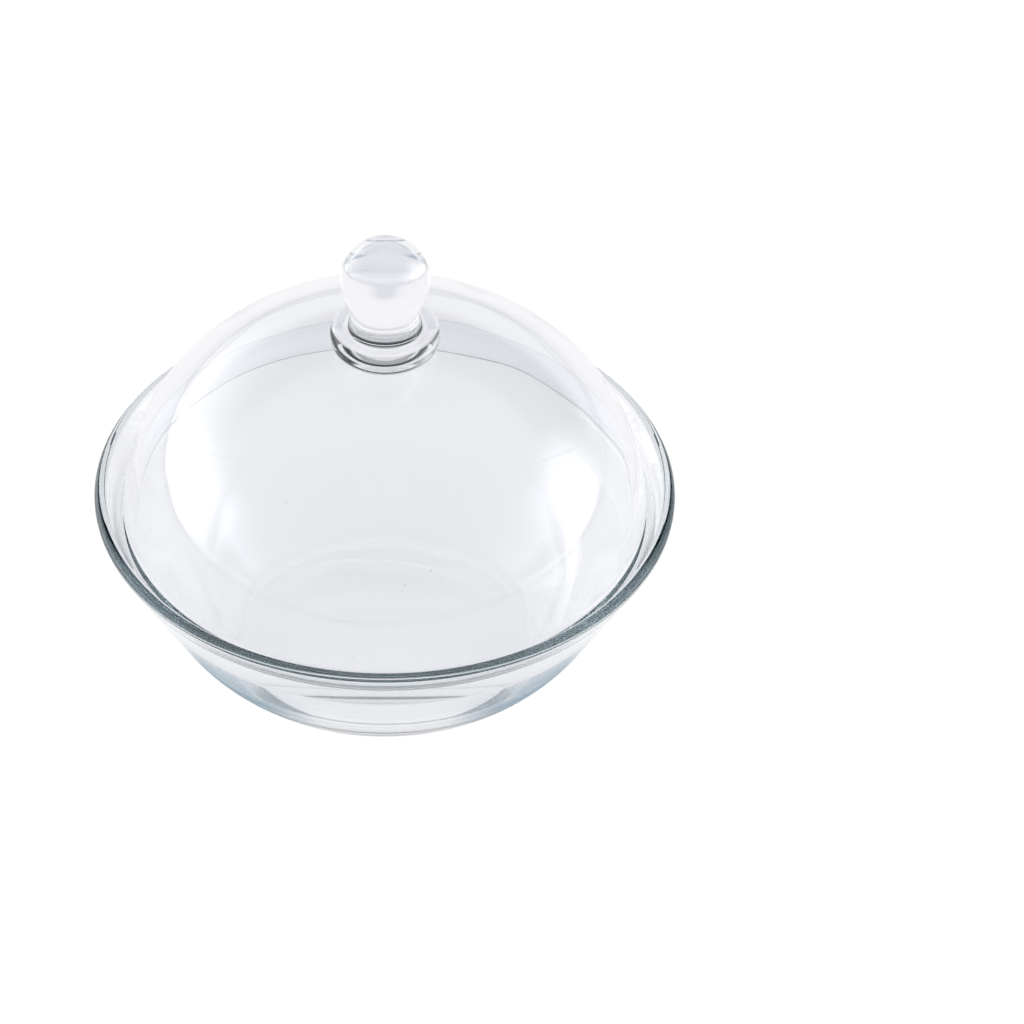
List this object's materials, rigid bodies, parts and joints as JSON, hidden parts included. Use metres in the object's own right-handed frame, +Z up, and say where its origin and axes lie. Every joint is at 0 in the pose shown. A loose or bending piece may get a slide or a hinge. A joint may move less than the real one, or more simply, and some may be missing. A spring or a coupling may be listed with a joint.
{
  "type": "covered glass dish",
  "caption": "Flared clear glass dish with a rounded rim, and a lift-off glass dome with a ball knob that stands on a ledge inside the rim.",
  "frame": {"origin": "centre of the dish's foot, on the surface that it stands on", "axes": "+Z up along the axis of the dish and the lid; X and Y are alike, because every piece is round"},
  "size_m": [0.12, 0.12, 0.105],
  "materials": {
    "dish_glass": "clear, fire-polished, faintly blue-green where it is thick",
    "lid_glass": "clear, blown, with slight waves and a few tiny seeds"
  },
  "bodies": {
    "dish": {"dish": "dish_glass"},
    "lid": {"dome": "lid_glass", "knob_collar": "lid_glass", "knob": "lid_glass"}
  },
  "joints": [
    {"name": "lid_lift", "type": "slide", "parent": "dish", "child": "lid", "axis": [0, 0, 1], "range_m": [0, 0.08]}
  ]
}
